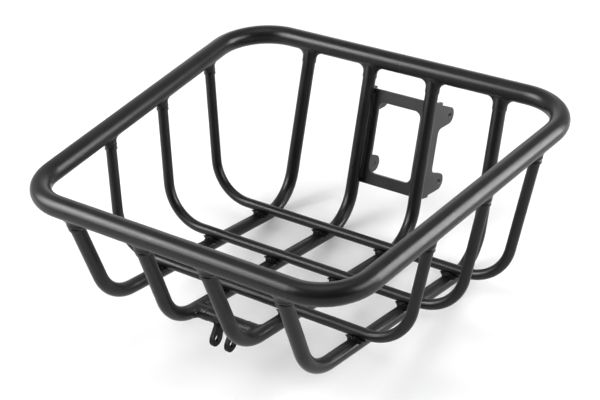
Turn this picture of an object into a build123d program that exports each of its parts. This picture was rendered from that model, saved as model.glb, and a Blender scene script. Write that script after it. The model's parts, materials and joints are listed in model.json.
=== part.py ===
# Handlebar basket: a welded tube basket with a closed rim, four lengthwise hoops,
# three cross hoops, a folded sheet bracket on the rear and a tabbed bar under the front.
# Units are millimetres. +Z is up, +X is the width, +Y is towards the bicycle.
# The origin is the middle of the bracket's upper screw axis.
from build123d import *
from math import asin, atan2, cos, degrees, hypot, radians, sin, sqrt, tan
import os

os.makedirs("parts", exist_ok=True)

# Rim tube, measured on its centreline
rim_radius = 9.5
rim_wall = 1.5
rim_front_half = 160.5
rim_rear_half = 189.0
rim_depth = 369.0
rim_front_corner = 44.0
rim_rear_corner = 51.0
seam_gap = 1.2
seam_recess = 0.25

# Lengthwise hoops: front rim, down, along the floor and up to the rear rim
hoop_radius = 6.5
hoop_wall = 1.2
front_bottom_y = -152.0
front_bottom_z = -110.0
rear_bottom_y = 128.3
rear_bottom_z = -164.3
front_bend = 49.0
rear_bend = 41.0
inner_hoop_halves = (32.5, 35.5, 36.5, 35.5)
outer_hoop_halves = (106.5, 107.0, 110.5, 108.0)

# Cross hoops, each in a plane square to the sloping floor
cross_radius = 5.0
cross_wall = 1.0
cross_first_y = -83.5
cross_pitch = 81.0
cross_floor_halves = (154.5, 159.5, 163.0)
cross_bend = 42.5
stack_gap = 1.0

# Folded sheet bracket on the rear of the two inner hoops
sheet = 3.0
bracket_down = 80.8
bracket_height = 98.0
bracket_half_width = 39.2
bracket_bend = 4.0
window_width = 48.4
window_height = 74.0
window_corner = 7.0
flange_depth = 14.5
ear_root = 22.3
ear_radius = 8.6
ear_blend = 6.0
screw_half_pitch = 34.5
screw_drop = 1.0
screw_back = 34.0
screw_radius = 2.1
screw_chamfer = 1.4
relief_radius = 1.8

# Bar and tabs under the front of the floor
bar_radius = 6.25
bar_wall = 1.2
bar_y = -120.0
tab_half_spacing = 8.0
tab_hole_y = -129.0
tab_hole_z = -131.8
tab_radius = 7.6
tab_root_half = 5.0
tab_hole_radius = 3.3

# Welds
fit_gap = 0.05
collar_lip = 0.5
bar_lip = 0.2
collar_reach = 1.5
hoop_rim_weld = 7.5
cross_rim_weld = 6.5
crossing_weld = 4.5
crossing_bite = 0.6
crossing_gap = 0.15
bracket_weld = 1.9
bead_setback = 5.0
bar_weld = 6.0
tab_weld = 2.0

# Directions and datum points that follow from the dimensions
x_axis = Vector(1, 0, 0)
half_depth = rim_depth / 2
rear_lean = atan2(half_depth - rear_bottom_y, -rear_bottom_z)
floor_slope = atan2(front_bottom_z - rear_bottom_z, rear_bottom_y - front_bottom_y)
leg_up = Vector(0, sin(rear_lean), cos(rear_lean))
leg_back = Vector(0, cos(rear_lean), -sin(rear_lean))
floor_up = Vector(0, sin(floor_slope), cos(floor_slope))
screw_down = bracket_down + screw_drop - screw_half_pitch
screw_out = hoop_radius + fit_gap + screw_back
rim_y = screw_down * sin(rear_lean) - screw_out * cos(rear_lean) - half_depth
rim_z = screw_down * cos(rear_lean) + screw_out * sin(rear_lean)
rim_centre = Vector(0, rim_y, rim_z)
hoop_profile = [
    (-half_depth, 0),
    (front_bottom_y, front_bottom_z),
    (rear_bottom_y, rear_bottom_z),
    (half_depth, 0),
]
hoop_sides = [(-1, outer_hoop_halves), (-1, inner_hoop_halves), (1, inner_hoop_halves), (1, outer_hoop_halves)]
hoop_rows = []
for side, halves in hoop_sides:
    hoop_rows.append([rim_centre + Vector(side * x, y, z) for x, (y, z) in zip(halves, hoop_profile)])


def floor_z(y):
    """Height of the lengthwise hoops' floor axis from the rim's centre plane."""
    return front_bottom_z - (y - front_bottom_y) * tan(floor_slope)


def floor_point(row, y):
    """A point on a lengthwise hoop's floor axis."""
    part_way = (y - front_bottom_y) / (rear_bottom_y - front_bottom_y)
    return row[1] + (row[2] - row[1]) * part_way


def rim_half(y):
    """Half width of the rim's centreline at a depth along it."""
    return rim_front_half + (rim_rear_half - rim_front_half) * (y + half_depth) / rim_depth


def tangent_point(start, centre, radius, turn):
    """Where a line from start touches a circle."""
    along = hypot(centre[0] - start[0], centre[1] - start[1])
    angle = atan2(centre[1] - start[1], centre[0] - start[0]) + turn * asin(radius / along)
    reach = sqrt(along**2 - radius**2)
    return (start[0] + reach * cos(angle), start[1] + reach * sin(angle))


def flared_weld(joint, main_axis, main_r, branch_axis, branch_r, flare, lip):
    """Concave collar where a branch tube lands on a main tube, both tubes taken out.
    It ends on the branch in a low rounded lip."""
    main_plane = Plane(joint, z_dir=main_axis)
    branch_plane = Plane(joint, z_dir=branch_axis)
    with BuildPart() as collar:
        with BuildSketch(main_plane):
            Circle(main_r)
        extrude(amount=2.5 * (branch_r + flare), both=True)
        with BuildSketch(branch_plane):
            Circle(branch_r + lip)
        extrude(amount=main_r + collar_reach * flare)
        toes = [e for e in collar.edges() if e.geom_type not in (GeomType.CIRCLE, GeomType.LINE)]
        fillet(toes, radius=flare)
        ends = [e for e in collar.edges().filter_by(GeomType.CIRCLE) if abs(e.radius - branch_r - lip) < 0.01]
        fillet(ends, radius=lip / 2)
        with BuildSketch(main_plane):
            Circle(main_r + fit_gap)
        extrude(amount=4 * (branch_r + flare), both=True, mode=Mode.SUBTRACT)
        with BuildSketch(branch_plane):
            Circle(branch_r + fit_gap)
        extrude(amount=main_r + 6 * flare, mode=Mode.SUBTRACT)
    return collar.part


# Rim: one bent tube whose two ends meet in the middle of the rear side
with BuildLine(Plane(rim_centre)) as rim_path:
    Polyline(
        (seam_gap / 2, half_depth),
        (rim_rear_half, half_depth),
        (rim_front_half, -half_depth),
        (-rim_front_half, -half_depth),
        (-rim_rear_half, half_depth),
        (-seam_gap / 2, half_depth),
    )
    corners = [v for v in rim_path.vertices() if abs(v.X) > seam_gap]
    fillet([v for v in corners if v.Y < rim_y], rim_front_corner)
    corners = [v for v in rim_path.vertices() if abs(abs(v.X) - rim_rear_half) < 0.1]
    fillet(corners, rim_rear_corner)

with BuildPart() as rim_tube:
    with BuildSketch(Plane(rim_centre + Vector(seam_gap / 2, half_depth, 0), z_dir=x_axis)):
        Circle(rim_radius)
        Circle(rim_radius - rim_wall, mode=Mode.SUBTRACT)
    sweep(path=rim_path.wires()[0])
rim_tube.part.label = "rim_tube"
export_step(rim_tube.part, "parts/rim_tube.step")

# Butt weld that closes the rim's seam, ground a little below the tube
with BuildPart() as rim_seam_weld:
    with BuildSketch(Plane(rim_centre + Vector(0, half_depth, 0), z_dir=x_axis)):
        Circle(rim_radius - seam_recess)
        Circle(rim_radius - rim_wall, mode=Mode.SUBTRACT)
    extrude(amount=seam_gap / 2, both=True)
rim_seam_weld.part.label = "rim_seam_weld"
export_step(rim_seam_weld.part, "parts/rim_seam_weld.step")

# Four lengthwise hoops, each in its own slightly leaning plane and coped to the rim
long_hoops = []
for number, row in enumerate(hoop_rows, start=1):
    hoop_start, hoop_front, hoop_rear, hoop_end = row
    with BuildLine() as hoop_path:
        down = (hoop_front - hoop_start).normalized()
        along = (hoop_rear - hoop_front).normalized()
        up = (hoop_end - hoop_rear).normalized()
        front_reach = front_bend * tan(radians(down.get_angle(along) / 2))
        rear_reach = rear_bend * tan(radians(along.get_angle(up) / 2))
        Line(hoop_start, hoop_front - down * front_reach)
        TangentArc(hoop_path.line @ 1, hoop_front + along * front_reach, tangent=down)
        Line(hoop_path.line @ 1, hoop_rear - along * rear_reach)
        TangentArc(hoop_path.line @ 1, hoop_rear + up * rear_reach, tangent=along)
        Line(hoop_path.line @ 1, hoop_end)
    with BuildPart() as hoop:
        with BuildSketch(Plane(hoop_start, z_dir=down)):
            Circle(hoop_radius)
            Circle(hoop_radius - hoop_wall, mode=Mode.SUBTRACT)
        sweep(path=hoop_path.wires()[0])
        for end_y in (-half_depth, half_depth):
            with BuildSketch(Plane(rim_centre + Vector(0, end_y, 0), z_dir=x_axis)):
                Circle(rim_radius + fit_gap)
            extrude(amount=rim_front_half, both=True, mode=Mode.SUBTRACT)
    long_hoops.append(hoop.part)
    hoop.part.label = f"long_hoop_{number}"
    export_step(hoop.part, f"parts/long_hoop_{number}.step")

# Three cross hoops resting on the lengthwise hoops, coped to the rim's sides
floor_along = Vector(0, cos(floor_slope), -sin(floor_slope))
stack_height = hoop_radius + cross_radius + stack_gap
side_rims = []
for side in (-1, 1):
    side_front = rim_centre + Vector(side * rim_front_half, -half_depth, 0)
    side_rear = rim_centre + Vector(side * rim_rear_half, half_depth, 0)
    side_rims.append(Plane(side_front, z_dir=side_rear - side_front))

cross_data = []
for number, floor_half in enumerate(cross_floor_halves, start=1):
    floor_y = cross_first_y + cross_pitch * (number - 1)
    floor_height = floor_z(floor_y)
    top_y = floor_y - floor_height * tan(floor_slope)
    top_half = rim_half(top_y)
    low = rim_centre + Vector(0, floor_y, floor_height) + floor_up * stack_height
    top = rim_centre + Vector(0, top_y, 0)
    cross_data.append((low, top, top_half, floor_half))
    rise = (top - low).length
    with BuildLine(Plane(low, x_dir=x_axis, z_dir=-floor_along)) as cross_path:
        Polyline((-top_half, rise), (-floor_half, 0), (floor_half, 0), (top_half, rise))
        fillet([v for v in cross_path.vertices() if abs(v.X) < floor_half + 1], cross_bend)
    with BuildPart() as cross_hoop:
        drop = low - top - x_axis * (floor_half - top_half)
        with BuildSketch(Plane(top - x_axis * top_half, z_dir=drop)):
            Circle(cross_radius)
            Circle(cross_radius - cross_wall, mode=Mode.SUBTRACT)
        sweep(path=cross_path.wires()[0])
        for side_rim in side_rims:
            with BuildSketch(side_rim):
                Circle(rim_radius + fit_gap)
            extrude(amount=rim_depth, mode=Mode.SUBTRACT)
    cross_hoop.part.label = f"cross_hoop_{number}"
    export_step(cross_hoop.part, f"parts/cross_hoop_{number}.step")

# Collar welds between the lengthwise hoops and the rim's front and rear sides
for name, top, foot in (("front_rim_welds", 0, 1), ("rear_rim_welds", 3, 2)):
    with BuildPart() as rim_welds:
        for row in hoop_rows:
            leg = row[foot] - row[top]
            add(flared_weld(row[top], x_axis, rim_radius, leg, hoop_radius, hoop_rim_weld, collar_lip))
    rim_welds.part.label = name
    export_step(rim_welds.part, f"parts/{name}.step")

# Collar welds between the cross hoops and the rim's two sides
for name, side, side_rim in (("left_rim_welds", -1, side_rims[0]), ("right_rim_welds", 1, side_rims[1])):
    with BuildPart() as rim_welds:
        for low, top, top_half, floor_half in cross_data:
            joint = top + x_axis * side * top_half
            leg = low + x_axis * side * floor_half - joint
            add(flared_weld(joint, side_rim.z_dir, rim_radius, leg, cross_radius, cross_rim_weld, collar_lip))
    rim_welds.part.label = name
    export_step(rim_welds.part, f"parts/{name}.step")

# Saddle weld at one floor crossing, drawn with the lower rod along Y and the upper one along X
with BuildPart() as crossing:
    with BuildSketch(Plane.XZ):
        Circle(hoop_radius)
    extrude(amount=25, both=True)
    with BuildSketch(Plane.YZ):
        with Locations((0, hoop_radius + cross_radius - crossing_bite)):
            Circle(cross_radius)
    extrude(amount=25, both=True)
    toes = [e for e in crossing.edges() if e.geom_type not in (GeomType.CIRCLE, GeomType.LINE)]
    fillet(toes, radius=crossing_weld)
    with BuildSketch(Plane.XZ):
        Circle(hoop_radius + crossing_gap)
    extrude(amount=30, both=True, mode=Mode.SUBTRACT)
    with BuildSketch(Plane.YZ):
        with Locations((0, stack_height), (0, hoop_radius + cross_radius - crossing_bite)):
            Circle(cross_radius + fit_gap)
    extrude(amount=30, both=True, mode=Mode.SUBTRACT)

# One group of four saddle welds under each cross hoop
for number in range(1, 4):
    floor_y = cross_first_y + cross_pitch * (number - 1)
    with BuildPart() as floor_welds:
        for row in hoop_rows:
            add(Plane(floor_point(row, floor_y), x_dir=x_axis, z_dir=floor_up) * crossing.part)
    floor_welds.part.label = f"floor_welds_{number}"
    export_step(floor_welds.part, f"parts/floor_welds_{number}.step")

# Folded bracket: a channel cut to its side outline, with a window and four tapped ears
rear_top = rim_centre + Vector(0, half_depth, 0)
web_centre = rear_top - leg_up * bracket_down + leg_back * (hoop_radius + fit_gap)
channel_plane = Plane(web_centre, x_dir=x_axis, z_dir=leg_up)
side_plane = Plane(web_centre, x_dir=leg_back, z_dir=x_axis)
web_plane = Plane(web_centre, x_dir=x_axis, z_dir=-leg_back)
half_height = bracket_height / 2
ear_centres = [(screw_back, end * screw_half_pitch - screw_drop) for end in (1, -1)]
ear_roots = [(flange_depth, end * ear_root - screw_drop) for end in (1, -1)]
with BuildPart() as rear_bracket:
    with BuildSketch(channel_plane):
        with Locations((0, 30)):
            Rectangle(2 * bracket_half_width, 60)
        fillet([v for v in vertices() if (v - Vertex(*web_centre)).Y < 20], bracket_bend)
        with Locations((0, 30 + sheet)):
            Rectangle(2 * (bracket_half_width - sheet), 60, mode=Mode.SUBTRACT)
    extrude(amount=half_height, both=True)
    with BuildSketch(side_plane):
        Rectangle(flange_depth, bracket_height, align=(Align.MIN, Align.CENTER))
        for end, ear_centre, root in zip((1, -1), ear_centres, ear_roots):
            corner = (0, end * half_height)
            outer_touch = tangent_point(corner, ear_centre, ear_radius, end)
            inner_touch = tangent_point(root, ear_centre, ear_radius, -end)
            Polygon(corner, outer_touch, ear_centre, inner_touch, root, (0, root[1]), align=None)
            with Locations(ear_centre):
                Circle(ear_radius)
    extrude(amount=bracket_half_width + 1, both=True, mode=Mode.INTERSECT)
    across = rear_bracket.edges().filter_by(Axis.X).filter_by(lambda e: abs(e.length - sheet) < 0.1)
    for out, up in ear_roots:
        root = web_centre + leg_back * out + leg_up * up
        necks = [e for e in across if hypot((e.center() - root).Y, (e.center() - root).Z) < 1]
        fillet(necks, ear_blend)
    with BuildSketch(web_plane):
        RectangleRounded(window_width, window_height, window_corner)
    extrude(amount=-2 * sheet, both=True, mode=Mode.SUBTRACT)
    with BuildSketch(side_plane):
        with Locations(*ear_centres):
            Circle(screw_radius)
    extrude(amount=bracket_half_width + 1, both=True, mode=Mode.SUBTRACT)
    rims = [e for e in rear_bracket.edges().filter_by(GeomType.CIRCLE) if abs(e.radius - screw_radius) < 0.01]
    chamfer([e for e in rims if abs(e.center().X) > bracket_half_width - 0.1], screw_chamfer)
    for side in (-1, 1):
        for end in (-1, 1):
            bend_spot = web_centre + leg_up * end * half_height + x_axis * side * (bracket_half_width - 0.8)
            with BuildSketch(Plane(bend_spot + leg_back * 0.8, z_dir=leg_back - x_axis * side)):
                Circle(relief_radius)
            extrude(amount=2 * sheet, both=True, mode=Mode.SUBTRACT)
rear_bracket.part.label = "rear_bracket"
export_step(rear_bracket.part, "parts/rear_bracket.step")

# Long bracket welds: a concave bead on each side of both inner hoops
flat_run = sqrt(4 * hoop_radius * bracket_weld)
leg_axis_back = -hoop_radius - fit_gap
for name, side, row in (("bracket_welds_left", -1, hoop_rows[1]), ("bracket_welds_right", 1, hoop_rows[2])):
    leg_line = row[3] - row[2]
    leg_middle = row[3] - leg_line.normalized() * bracket_down
    leg = (side * leg_middle.X, leg_axis_back)
    bend = (bracket_half_width - bracket_bend, bracket_bend)
    apart = hypot(bend[0] - leg[0], bend[1] - leg[1])
    toward = ((bend[0] - leg[0]) / apart, (bend[1] - leg[1]) / apart)
    to_leg = hoop_radius + bracket_weld
    to_bend = bracket_bend + bracket_weld
    ahead = (to_leg**2 - to_bend**2 + apart**2) / (2 * apart)
    beside = sqrt(to_leg**2 - ahead**2)
    middle = (leg[0] + ahead * toward[0], leg[1] + ahead * toward[1])
    outer_ball = (middle[0] + beside * toward[1], middle[1] - beside * toward[0])
    inner_ball = (leg[0] - flat_run, -bracket_weld)
    with BuildPart() as bracket_beads:
        with BuildSketch(Plane(web_centre, x_dir=x_axis * side, z_dir=leg_line * side)):
            Polygon(leg, (leg[0], -fit_gap), (inner_ball[0], -fit_gap), inner_ball, align=None)
            Polygon(leg, outer_ball, bend, align=None)
            with Locations(leg):
                Circle(hoop_radius + fit_gap, mode=Mode.SUBTRACT)
            with Locations(inner_ball, outer_ball):
                Circle(bracket_weld, mode=Mode.SUBTRACT)
            with Locations(bend):
                Circle(bracket_bend + fit_gap, mode=Mode.SUBTRACT)
        extrude(amount=half_height - bead_setback, both=True)
        add(rear_bracket.part, mode=Mode.SUBTRACT)
        slivers = [s for s in bracket_beads.solids() if s.volume < 1]
        if slivers:
            add(slivers, mode=Mode.SUBTRACT)
    bracket_beads.part.label = name
    export_step(bracket_beads.part, f"parts/{name}.step")

# Bar between the two inner hoops, in line with their floor axes
bar_z = floor_z(bar_y)
bar_ends = [floor_point(row, bar_y) for row in hoop_rows[1:3]]
bar_centre = rim_centre + Vector(0, bar_y, bar_z)
with BuildPart() as under_bar:
    with BuildSketch(Plane(bar_centre, z_dir=x_axis)):
        Circle(bar_radius)
        Circle(bar_radius - bar_wall, mode=Mode.SUBTRACT)
    extrude(amount=bar_ends[1].X, both=True)
    for row, bar_end in zip(hoop_rows[1:3], bar_ends):
        floor_line = row[2] - row[1]
        with BuildSketch(Plane(bar_end, z_dir=floor_line)):
            Circle(hoop_radius + fit_gap)
        extrude(amount=30, both=True, mode=Mode.SUBTRACT)
under_bar.part.label = "under_bar"
export_step(under_bar.part, "parts/under_bar.step")

with BuildPart() as under_bar_welds:
    for row, bar_end in zip(hoop_rows[1:3], bar_ends):
        floor_line = row[2] - row[1]
        inward = bar_centre - bar_end
        add(flared_weld(bar_end, floor_line, hoop_radius, inward, bar_radius, bar_weld, bar_lip))
    add(long_hoops[1:3], mode=Mode.SUBTRACT)
under_bar_welds.part.label = "under_bar_welds"
export_step(under_bar_welds.part, "parts/under_bar_welds.step")

# Two flat tabs hanging from the bar, with one round hole on a common axis
hole = (tab_hole_y - bar_y, tab_hole_z - bar_z)
tab_length = hypot(hole[0], hole[1])
across = (-hole[1] / tab_length * tab_root_half, hole[0] / tab_length * tab_root_half)
back_root = (across[0], across[1])
front_root = (-across[0], -across[1])
for name, side in (("tab_left", -1), ("tab_right", 1)):
    tab_plane = Plane(bar_centre + x_axis * side * tab_half_spacing, x_dir=(0, 1, 0), z_dir=x_axis)
    with BuildPart() as tab:
        with BuildSketch(tab_plane):
            back_touch = tangent_point(back_root, hole, tab_radius, 1)
            front_touch = tangent_point(front_root, hole, tab_radius, -1)
            Polygon(back_root, back_touch, hole, front_touch, front_root, align=None)
            with Locations(hole):
                Circle(tab_radius)
                Circle(tab_hole_radius, mode=Mode.SUBTRACT)
            Circle(bar_radius + fit_gap, mode=Mode.SUBTRACT)
        extrude(amount=sheet / 2, both=True)
    tab.part.label = name
    export_step(tab.part, f"parts/{name}.step")

# Concave beads round the bar on both faces of both tabs
bead_half = asin(tab_root_half / bar_radius)
bead_start = atan2(hole[1], hole[0]) - bead_half
bead_out = Vector(0, cos(bead_start), sin(bead_start))
with BuildPart() as tab_welds:
    for side in (-1, 1):
        for face in (-1, 1):
            toe = side * tab_half_spacing + face * (sheet / 2 + fit_gap)
            heel = toe + face * tab_weld
            inner = bar_radius + fit_gap
            outer = inner + tab_weld
            with BuildSketch(Plane(bar_centre, x_dir=x_axis, z_dir=x_axis.cross(bead_out))):
                Polygon((toe, inner), (heel, inner), (heel, outer), (toe, outer), align=None)
                with Locations((heel, outer)):
                    Circle(tab_weld, mode=Mode.SUBTRACT)
            revolve(axis=Axis(bar_centre, x_axis), revolution_arc=degrees(2 * bead_half))
tab_welds.part.label = "tab_welds"
export_step(tab_welds.part, "parts/tab_welds.step")
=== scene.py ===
import bpy
import bmesh
import json
import random
from math import atan2, cos, exp, pi, radians, sin
from mathutils import Matrix, Vector, noise
from mathutils.bvhtree import BVHTree
from mathutils.geometry import intersect_point_line


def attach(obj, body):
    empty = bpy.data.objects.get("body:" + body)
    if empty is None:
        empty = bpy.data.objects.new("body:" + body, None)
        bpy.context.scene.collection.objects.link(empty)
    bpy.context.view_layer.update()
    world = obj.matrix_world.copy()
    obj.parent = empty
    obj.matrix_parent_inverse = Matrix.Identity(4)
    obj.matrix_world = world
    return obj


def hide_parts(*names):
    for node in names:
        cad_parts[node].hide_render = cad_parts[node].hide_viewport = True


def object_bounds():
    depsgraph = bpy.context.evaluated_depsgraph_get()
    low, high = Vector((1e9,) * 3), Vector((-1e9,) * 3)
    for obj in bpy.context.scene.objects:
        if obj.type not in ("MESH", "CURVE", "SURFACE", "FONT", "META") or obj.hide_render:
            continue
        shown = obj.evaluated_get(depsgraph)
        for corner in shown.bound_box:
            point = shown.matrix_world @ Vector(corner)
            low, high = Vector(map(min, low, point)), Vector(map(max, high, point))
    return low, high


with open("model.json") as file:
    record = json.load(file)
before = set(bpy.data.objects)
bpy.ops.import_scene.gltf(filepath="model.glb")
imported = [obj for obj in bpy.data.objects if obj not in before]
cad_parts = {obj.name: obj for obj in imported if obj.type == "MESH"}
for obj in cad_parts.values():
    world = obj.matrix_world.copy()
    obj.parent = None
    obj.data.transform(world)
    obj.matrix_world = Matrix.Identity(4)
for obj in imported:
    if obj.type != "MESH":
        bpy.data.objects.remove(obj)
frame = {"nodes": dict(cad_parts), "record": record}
cad_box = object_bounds()
MM = 0.001

# Camera: where it stands, in degrees round the object's frame, and what it aims at, in metres
CAMERA_AZIMUTH = 35.75
CAMERA_ELEVATION = 31.76
CAMERA_ROLL = -3.3
CAMERA_AIM = Vector((0.0214, -0.2396, 0.025))
CAMERA_DISTANCE = 1.206
CAMERA_LENS = 82.46
CAMERA_CLIP = (0.01, 100)


def direction(azimuth, elevation):
    """Unit vector towards an azimuth, 0 at -Y and 90 at +X, and an elevation, in degrees."""
    a, e = radians(azimuth), radians(elevation)
    return Vector((sin(a) * cos(e), -cos(a) * cos(e), sin(e)))


def make_camera():
    back = direction(CAMERA_AZIMUTH, CAMERA_ELEVATION)
    level = (-back).to_track_quat("-Z", "Y").to_matrix()
    rolled = level @ Matrix.Rotation(radians(CAMERA_ROLL), 3, "Z")
    data = bpy.data.cameras.new("camera")
    data.lens = CAMERA_LENS
    data.clip_start, data.clip_end = CAMERA_CLIP
    camera = bpy.data.objects.new("camera", data)
    camera.matrix_world = Matrix.Translation(CAMERA_AIM + back * CAMERA_DISTANCE) @ rolled.to_4x4()
    bpy.context.scene.collection.objects.link(camera)
    bpy.context.scene.camera = camera


# Lights: soft panels aimed at the basket, each with its azimuth and elevation in degrees,
# its distance, width and height in metres, and its power in watts
LIGHT_AIM = Vector((0, -0.2, 0))
PANELS = {
    "left_softbox": (-48, 30, 1.6, 1.45, 1.2, 28.5),
    "left_core": (-49, 34, 1.6, 0.6, 0.6, 8),
    "right_strip": (128, 15, 1.5, 0.6, 1.3, 24),
    "right_fill": (98, 28, 1.8, 1.0, 0.9, 15),
    "back_left": (-150, 15, 1.8, 1.2, 0.9, 3),
    "top_fill": (0, 85, 1.6, 1.0, 1.0, 4),
}
# The room is dark on the camera's side and pale behind the basket
ROOM_DARK_SIDE = direction(35, 5)
ROOM_PALE = 0.75
ROOM_DARK = 0.06
ROOM_TURN = (-0.6, 0.9)
VIEW_GAMMA = 0.8
FLOOR_TONE = 0.55
FLOOR_ROUGHNESS = 0.9
FLOOR_SPECULAR = 0.1
FLOOR_HALF = 12.0
FLOOR_GAP = 0.5 * MM
FLOOR_GLOW = 0.25
# The floor glows more between these distances, in metres, so that it stays pale to the horizon
FLOOR_FAR_GLOW = 0.52
FLOOR_FADE = (0.9, 2.4)


def make_lights():
    for name, (azimuth, elevation, distance, width, height, power) in PANELS.items():
        data = bpy.data.lights.new(name, "AREA")
        data.shape = "RECTANGLE"
        data.size = width
        data.size_y = height
        data.energy = power
        light = bpy.data.objects.new(name, data)
        towards = direction(azimuth, elevation)
        light.location = LIGHT_AIM + towards * distance
        light.rotation_mode = "QUATERNION"
        light.rotation_quaternion = (-towards).to_track_quat("-Z", "Y")
        bpy.context.scene.collection.objects.link(light)
    world = bpy.data.worlds.new("studio")
    world.use_nodes = True
    nodes, links = world.node_tree.nodes, world.node_tree.links
    room = nodes["Background"]
    room.inputs["Color"].default_value = (1, 1, 1, 1)
    facing = nodes.new("ShaderNodeVectorMath")
    facing.operation = "DOT_PRODUCT"
    facing.inputs[1].default_value = ROOM_DARK_SIDE
    links.new(nodes.new("ShaderNodeTexCoord").outputs["Generated"], facing.inputs[0])
    walls = nodes.new("ShaderNodeMapRange")
    walls.inputs["From Min"].default_value = ROOM_TURN[0]
    walls.inputs["From Max"].default_value = ROOM_TURN[1]
    walls.inputs["To Min"].default_value = ROOM_PALE
    walls.inputs["To Max"].default_value = ROOM_DARK
    links.new(facing.outputs["Value"], walls.inputs["Value"])
    links.new(walls.outputs["Result"], room.inputs["Strength"])
    bpy.context.scene.world = world
    bpy.context.scene.view_settings.view_transform = "Standard"
    bpy.context.scene.view_settings.gamma = VIEW_GAMMA


def make_floor():
    mesh = bpy.data.meshes.new("floor")
    half, level = FLOOR_HALF, cad_box[0].z - FLOOR_GAP
    corners = [(-half, -half, level), (half, -half, level), (half, half, level), (-half, half, level)]
    mesh.from_pydata(corners, [], [(0, 1, 2, 3)])
    floor = bpy.data.objects.new("floor", mesh)
    bpy.context.scene.collection.objects.link(floor)
    material = bpy.data.materials.new("floor_paper")
    material.use_nodes = True
    shader = material.node_tree.nodes["Principled BSDF"]
    shader.inputs["Base Color"].default_value = (FLOOR_TONE, FLOOR_TONE, FLOOR_TONE, 1)
    shader.inputs["Roughness"].default_value = FLOOR_ROUGHNESS
    shader.inputs["Specular IOR Level"].default_value = FLOOR_SPECULAR
    shader.inputs["Emission Color"].default_value = (1, 1, 1, 1)
    nodes, links = material.node_tree.nodes, material.node_tree.links
    place = nodes.new("ShaderNodeNewGeometry")
    reach = nodes.new("ShaderNodeVectorMath")
    reach.operation = "LENGTH"
    fade = nodes.new("ShaderNodeMapRange")
    fade.interpolation_type = "SMOOTHSTEP"
    fade.inputs["From Min"].default_value = FLOOR_FADE[0]
    fade.inputs["From Max"].default_value = FLOOR_FADE[1]
    fade.inputs["To Min"].default_value = FLOOR_GLOW
    fade.inputs["To Max"].default_value = FLOOR_FAR_GLOW
    links.new(place.outputs["Position"], reach.inputs[0])
    links.new(reach.outputs["Value"], fade.inputs["Value"])
    links.new(fade.outputs["Result"], shader.inputs["Emission Strength"])
    mesh.materials.append(material)


# Powder coat: noise scales per metre, bump depths, and how worn edges with their painted highlight look
BROAD_SCALE = 45
PEEL_SCALE = 900
FINE_SCALE = 2600
RUB_SCALE = 90
PEEL_DEPTH = 0.12 * MM
FINE_DEPTH = 0.05 * MM
WEAR_AND_HIGHLIGHT_EDGE = 0.7 * MM
WORN_GLOSS = 0.12


class Coat:
    """A black powder coat's node tree, built up one feature at a time."""

    def __init__(self, name, specular):
        self.material = bpy.data.materials.new(name)
        self.material.use_nodes = True
        self.nodes = self.material.node_tree.nodes
        self.links = self.material.node_tree.links
        self.shader = self.nodes["Principled BSDF"]
        self.shader.inputs["Specular IOR Level"].default_value = specular
        self.place = self.nodes.new("ShaderNodeTexCoord").outputs["Object"]

    def noise(self, scale, detail, distortion=0.0):
        node = self.nodes.new("ShaderNodeTexNoise")
        node.inputs["Scale"].default_value = scale
        node.inputs["Detail"].default_value = detail
        node.inputs["Distortion"].default_value = distortion
        self.links.new(self.place, node.inputs["Vector"])
        return node.outputs["Fac"]

    def ramp(self, value, low, high, to_low, to_high):
        node = self.nodes.new("ShaderNodeMapRange")
        node.inputs["From Min"].default_value = low
        node.inputs["From Max"].default_value = high
        node.inputs["To Min"].default_value = to_low
        node.inputs["To Max"].default_value = to_high
        self.links.new(value, node.inputs["Value"])
        return node.outputs["Result"]

    def math(self, operation, first, second):
        node = self.nodes.new("ShaderNodeMath")
        node.operation = operation
        self.links.new(first, node.inputs[0])
        if isinstance(second, (int, float)):
            node.inputs[1].default_value = second
        else:
            self.links.new(second, node.inputs[1])
        return node.outputs["Value"]

    def mix(self, factor, first, second):
        node = self.nodes.new("ShaderNodeMix")
        node.data_type = "RGBA"
        for socket, colour in (("A", first), ("B", second)):
            if isinstance(colour, (int, float)):
                node.inputs[socket].default_value = (colour, colour, colour, 1)
            else:
                self.links.new(colour, node.inputs[socket])
        self.links.new(factor, node.inputs["Factor"])
        return node.outputs["Result"]

    def bump(self, height, strength, distance, under=None):
        node = self.nodes.new("ShaderNodeBump")
        node.inputs["Strength"].default_value = strength
        node.inputs["Distance"].default_value = distance
        self.links.new(height, node.inputs["Height"])
        if under:
            self.links.new(under, node.inputs["Normal"])
        return node.outputs["Normal"]

    def edges(self, radius):
        """0 on flat and round surfaces, rising to 1 along sharp edges."""
        bevel = self.nodes.new("ShaderNodeBevel")
        bevel.samples = 6
        bevel.inputs["Radius"].default_value = radius
        flat = self.nodes.new("ShaderNodeNewGeometry").outputs["Normal"]
        dot = self.nodes.new("ShaderNodeVectorMath")
        dot.operation = "DOT_PRODUCT"
        self.links.new(bevel.outputs["Normal"], dot.inputs[0])
        self.links.new(flat, dot.inputs[1])
        return self.ramp(dot.outputs["Value"], 0.995, 0.85, 0.0, 1.0)

    def crests(self):
        """0 in hollows and on smooth surfaces, rising to 1 on the tops of lumps."""
        point = self.nodes.new("ShaderNodeNewGeometry").outputs["Pointiness"]
        return self.ramp(point, 0.5, 0.6, 0.0, 1.0)


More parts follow.
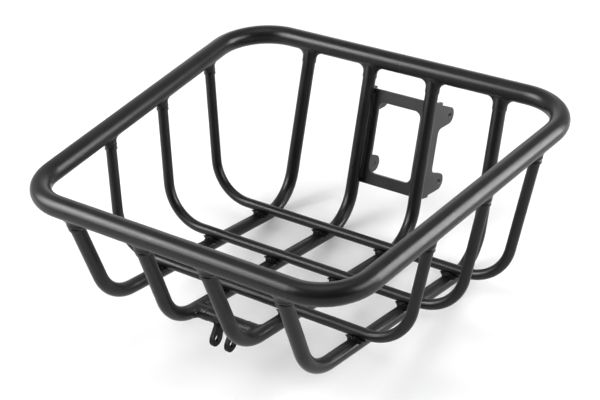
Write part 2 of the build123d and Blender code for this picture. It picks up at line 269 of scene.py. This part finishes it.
def powder_coat(name, tone, roughness, specular, grain, wear_and_highlight, wear_and_highlight_tone=0.06):
    """Satin black powder coat: orange peel, fine grain, faint handling marks, thin coat where worn, and
    painted highlights along edges and on the tops of lumps.
    """
    coat = Coat(name, specular)
    broad = coat.noise(BROAD_SCALE, 4)
    peel = coat.noise(PEEL_SCALE, 2)
    fine = coat.noise(FINE_SCALE, 2)
    rubs = coat.noise(RUB_SCALE, 3, 1.5)
    colour = coat.mix(coat.ramp(broad, 0.3, 0.7, 0, 1), tone * 0.75, tone * 1.3)
    speckle = coat.ramp(fine, 0.62, 0.75, 0, 0.6)
    colour = coat.mix(speckle, colour, tone * 4)
    smooth = coat.ramp(broad, 0.25, 0.75, roughness - 0.03, roughness + 0.04)
    marks = coat.ramp(rubs, 0.5, 0.8, 0, -0.05)
    rough = coat.math("ADD", smooth, marks)
    # The edge and crest masks lighten the colour: partly a thinner coat where worn, partly a painted
    # highlight along sharp edges and painted glints on the tops of weld lumps.
    if wear_and_highlight == "edges":
        wear_and_highlight_mask = coat.math("MULTIPLY", coat.edges(WEAR_AND_HIGHLIGHT_EDGE), coat.ramp(rubs, 0.35, 0.6, 0.2, 1))
    elif wear_and_highlight == "crests":
        wear_and_highlight_mask = coat.crests()
    if wear_and_highlight:
        colour = coat.mix(wear_and_highlight_mask, colour, wear_and_highlight_tone)
        rough = coat.math("SUBTRACT", rough, coat.math("MULTIPLY", wear_and_highlight_mask, WORN_GLOSS))
    coat.links.new(colour, coat.shader.inputs["Base Color"])
    coat.links.new(rough, coat.shader.inputs["Roughness"])
    normal = coat.bump(peel, grain, PEEL_DEPTH)
    normal = coat.bump(fine, grain, FINE_DEPTH, normal)
    coat.links.new(normal, coat.shader.inputs["Normal"])
    return coat.material


# Weld surfaces, all in mm: extra fullness, ripple pitch and height, lump size and height,
# and the height of the rounded toe
WELDS = {
    "floor_welds_1": (0.12, 0.0, 0.0, 1.9, 1.0, 0.0),
    "floor_welds_2": (0.12, 0.0, 0.0, 1.9, 1.0, 0.0),
    "floor_welds_3": (0.12, 0.0, 0.0, 1.9, 1.0, 0.0),
    "front_rim_welds": (0.12, 1.7, 0.05, 2.5, 0.12, 0.4),
    "rear_rim_welds": (0.12, 1.7, 0.02, 2.5, 0.06, 0.0),
    "left_rim_welds": (0.12, 1.6, 0.03, 2.5, 0.07, 0.2),
    "right_rim_welds": (0.12, 1.6, 0.03, 2.5, 0.07, 0.2),
    "under_bar_welds": (0.15, 2.6, 0.0, 6.0, 0.3, 0.0),
    "tab_welds": (0.5, 1.8, 0.15, 2.2, 0.25, 0.0),
    "bracket_welds_left": (0.12, 1.6, 0.06, 3.0, 0.06, 0.0),
    "bracket_welds_right": (0.12, 1.6, 0.06, 3.0, 0.06, 0.0),
}
WELD_VOXEL = 0.4 * MM
CRUMB_SHARE = 0.1
MERGE_DISTANCE = 0.001 * MM
SMOOTHING = 0.5
SMOOTHING_ROUNDS = 2
COLLAR_RADIUS = 8 * MM
LONG_EDGE = 25 * MM
AXIS_REACH = 15 * MM
TOE_WIDTH = 1.1 * MM
TOE_PLACE = 1.4 * MM
TOE_SLOPE = 0.6 * MM
TOE_RADIUS = 6.5 * MM
TOE_BURY = 0.9 * MM
SADDLE_LIFT = 4.0 * MM
TOE_BACK = 1.6 * MM
LONG_HOOPS = [f"long_hoop_{number}" for number in range(1, 5)]
CROSS_HOOPS = [f"cross_hoop_{number}" for number in range(1, 4)]
SPATTER_SEED = 11
SPATTER_PER_CROSSING = 7
SPATTER_REACH = 13 * MM
SPATTER_NEAREST = 0.3
SPATTER_HEIGHT = 20 * MM
SPATTER_SHAPE = (1, 1.2, 0.8, 1)
SPATTER_RADII = (0.3 * MM, 0.65 * MM)


def islands(mesh):
    """The vertex numbers of each separate closed shell of a mesh."""
    found = []
    whole = bmesh.new()
    whole.from_mesh(mesh)
    left = set(whole.verts)
    while left:
        shell, waiting = [], [left.pop()]
        while waiting:
            vert = waiting.pop()
            shell.append(vert.index)
            for link in vert.link_edges:
                other = link.other_vert(vert)
                if other in left:
                    left.remove(other)
                    waiting.append(other)
        found.append(sorted(shell))
    whole.free()
    return sorted(found)


def straight_runs(nodes):
    """The straight runs of tubes, as their long mesh edges' ends."""
    runs = []
    for node in nodes:
        mesh = frame["nodes"][node].data
        for edge in mesh.edges:
            first, second = (mesh.vertices[i].co for i in edge.vertices)
            if (first - second).length > LONG_EDGE:
                runs.append((first, second))
    return runs


def run_axis(centre, runs):
    """Unit vector along the tube that passes this place, towards its further end."""
    axis = Vector()
    for first, second in runs:
        nearest, share = intersect_point_line(centre, first, second)
        if -0.2 < share < 1.2 and (nearest - centre).length < AXIS_REACH:
            away = (second - first).normalized()
            if (first - centre).length > (second - centre).length:
                away.negate()
            axis += away if axis.dot(away) >= 0 else -away
    return axis.normalized()


def evaluated_copy(piece):
    view = bpy.context.evaluated_depsgraph_get()
    return bpy.data.meshes.new_from_object(piece.evaluated_get(view))


def drop_crumbs(mesh):
    """Takes away the tiny loose shells that remeshing leaves beside a weld's thinnest edges."""
    shells = islands(mesh)
    least = CRUMB_SHARE * max(len(shell) for shell in shells)
    whole = bmesh.new()
    whole.from_mesh(mesh)
    whole.verts.ensure_lookup_table()
    crumbs = [whole.verts[i] for shell in shells if len(shell) < least for i in shell]
    bmesh.ops.delete(whole, geom=crumbs, context="VERTS")
    whole.to_mesh(mesh)
    whole.free()


def remeshed(node, fullness):
    """A weld group's closed CAD shells as one even mesh, a little fuller so that its thin edges survive."""
    mesh = frame["nodes"][node].data.copy()
    whole = bmesh.new()
    whole.from_mesh(mesh)
    bmesh.ops.remove_doubles(whole, verts=whole.verts, dist=MERGE_DISTANCE)
    bmesh.ops.recalc_face_normals(whole, faces=whole.faces)
    whole.normal_update()
    for vert in whole.verts:
        vert.co += vert.normal * fullness
    whole.to_mesh(mesh)
    whole.free()
    piece = bpy.data.objects.new("bead_" + node, mesh)
    bpy.context.scene.collection.objects.link(piece)
    voxels = piece.modifiers.new("voxels", "REMESH")
    voxels.mode = "VOXEL"
    voxels.voxel_size = WELD_VOXEL
    soften = piece.modifiers.new("soften", "SMOOTH")
    soften.factor = SMOOTHING
    soften.iterations = SMOOTHING_ROUNDS
    dense = evaluated_copy(piece)
    piece.modifiers.clear()
    drop_crumbs(dense)
    piece.data = dense
    return piece


def collar_axes(node, centre, leg_runs, rim_runs):
    """The directions of the branch tube and of the main tube at a collar weld, or None for other welds."""
    if node.endswith("rim_welds"):
        return run_axis(centre, leg_runs), run_axis(centre, rim_runs)
    if node == "under_bar_welds":
        return Vector((-1 if centre.x > 0 else 1, 0, 0)), Vector((0, 1, 0))
    if node == "tab_welds":
        return Vector((1, 0, 0)), Vector((0, 1, 0))
    return None


def bead_weld(node, leg_runs, rim_runs):
    """A weld group with the ripples, lumps and rounded, saddle-shaped toe of real weld metal.

    Points move along their own normals, so past the toe, where a collar is thinner than
    TOE_BURY, its two skins cross and it is inside out there.
    """
    fullness, pitch, ripple, lump, lump_height, toe = (value * MM for value in WELDS[node])
    piece = remeshed(node, fullness)
    points = piece.data.vertices
    normals = [point.normal.copy() for point in points]
    saddle = toe > 0 and node.endswith("rim_welds")
    for shell in islands(piece.data):
        centre = sum((points[i].co for i in shell), Vector()) / len(shell)
        axes = collar_axes(node, centre, leg_runs, rim_runs)
        if axes:
            axis, main = axes
            side = (main - axis * main.dot(axis)).normalized()
            other = axis.cross(side)
            end = max((points[i].co - centre).dot(axis) for i in shell)
        for i in shell:
            point = points[i].co.copy()
            away = point - centre
            rise = 0.0
            wobble = 0.35 * noise.noise(point / (3 * MM))
            if axes:
                along = away.dot(axis)
                across = away.dot(other)
                turn = atan2(across, away.dot(side)) * COLLAR_RADIUS / pitch
                rise += ripple * sin(2 * pi * (turn + wobble + 0.15 * along / MM))
                inside = end - along
                if saddle:
                    inside -= TOE_BACK + SADDLE_LIFT * min(1, (across / TOE_RADIUS) ** 2)
                if toe:
                    rise += toe * exp(-(((inside - TOE_PLACE) / TOE_WIDTH) ** 2)) * (1 + wobble)
                if inside < 0:
                    rise -= TOE_BURY * min(1, -inside / TOE_SLOPE)
            elif ripple:
                rise += ripple * sin(2 * pi * (away.z / pitch + wobble))
            near = noise.voronoi(point / lump)[0][0]
            rise += lump_height * (0.45 - near)
            rise += 0.4 * lump_height * noise.noise(point / (0.45 * lump))
            points[i].co = point + normals[i] * rise
    if node.startswith("floor_welds"):
        add_spatter(piece, node)
    for face in piece.data.polygons:
        face.use_smooth = True
    return piece


def add_spatter(piece, node):
    """Small weld balls stuck to the lengthwise hoops round each floor crossing."""
    draw = random.Random(SPATTER_SEED + int(node[-1]))
    whole = bmesh.new()
    whole.from_mesh(piece.data)
    tubes = bmesh.new()
    for tube in LONG_HOOPS:
        tubes.from_mesh(frame["nodes"][tube].data)
    surface = BVHTree.FromBMesh(tubes)
    tubes.free()
    for shell in islands(piece.data):
        centre = sum((piece.data.vertices[i].co for i in shell), Vector()) / len(shell)
        for _ in range(SPATTER_PER_CROSSING):
            turn = draw.uniform(0, 2 * pi)
            reach = draw.uniform(SPATTER_NEAREST, 1) * SPATTER_REACH
            radius = draw.uniform(*SPATTER_RADII)
            above = centre + Vector((cos(turn) * reach * 0.5, sin(turn) * reach, SPATTER_HEIGHT))
            place = surface.ray_cast(above, Vector((0, 0, -1)), 2 * SPATTER_HEIGHT)[0]
            if place:
                ball = Matrix.Translation(place) @ Matrix.Diagonal(SPATTER_SHAPE)
                bmesh.ops.create_icosphere(whole, subdivisions=2, radius=radius, matrix=ball)
    whole.to_mesh(piece.data)
    whole.free()


make_camera()
make_lights()
make_floor()
coats = {
    "tube_coat": powder_coat("tube_coat", 0.012, 0.31, 0.5, 0.3, None),
    "weld_coat": powder_coat("weld_coat", 0.012, 0.31, 0.5, 0.3, "crests"),
    "sheet_coat": powder_coat("sheet_coat", 0.03, 0.44, 0.5, 0.3, "edges", 0.15),
}
# Bracket welds: a lighter copy of the coat, painted light standing in for light that the narrow gap between
# hoop and flange does not get.
lit_bracket_weld_coat = powder_coat("bracket_weld_painted_light_coat", 0.04, 0.44, 0.5, 0.3, "crests", 0.1)
# Floor and tab welds: a darker, less shiny copy of the weld coat, painted shade for their hollows and
# self-shadowing; lump tops still lighten as painted glints.
shaded_floor_weld_coat = powder_coat("floor_weld_painted_shade_coat", 0.004, 0.28, 0.2, 0.4, "crests", 0.03)
# Tabs: a darker, less shiny copy of the sheet coat, painted shade for their place under the basket, with a
# painted highlight ring along their edges.
tab_painted_shade_coat = powder_coat("tab_painted_shade_coat", 0.004, 0.36, 0.22, 0.3, "edges", 0.16)
slots = {row["node"]: row["material_slot"] for row in frame["record"]["subparts"]}
for node, piece in frame["nodes"].items():
    piece.data.materials.clear()
    # The tabs take their darker copy of the coat: painted shade.
    piece.data.materials.append(tab_painted_shade_coat if node.startswith("tab_") else coats[slots[node]])
# Floor and tab welds take the darker copy as painted shade; the bracket welds take the lighter copy as
# painted light.
weld_coats = {
    "floor_welds_1": shaded_floor_weld_coat,
    "floor_welds_2": shaded_floor_weld_coat,
    "floor_welds_3": shaded_floor_weld_coat,
    "bracket_welds_left": lit_bracket_weld_coat,
    "bracket_welds_right": lit_bracket_weld_coat,
    "tab_welds": shaded_floor_weld_coat,
}
leg_runs = straight_runs(LONG_HOOPS + CROSS_HOOPS)
rim_runs = straight_runs(["rim_tube"])
for node in WELDS:
    bead = bead_weld(node, leg_runs, rim_runs)
    bead.data.materials.clear()
    bead.data.materials.append(weld_coats.get(node, coats[slots[node]]))
    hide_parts(node)
    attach(bead, "root")
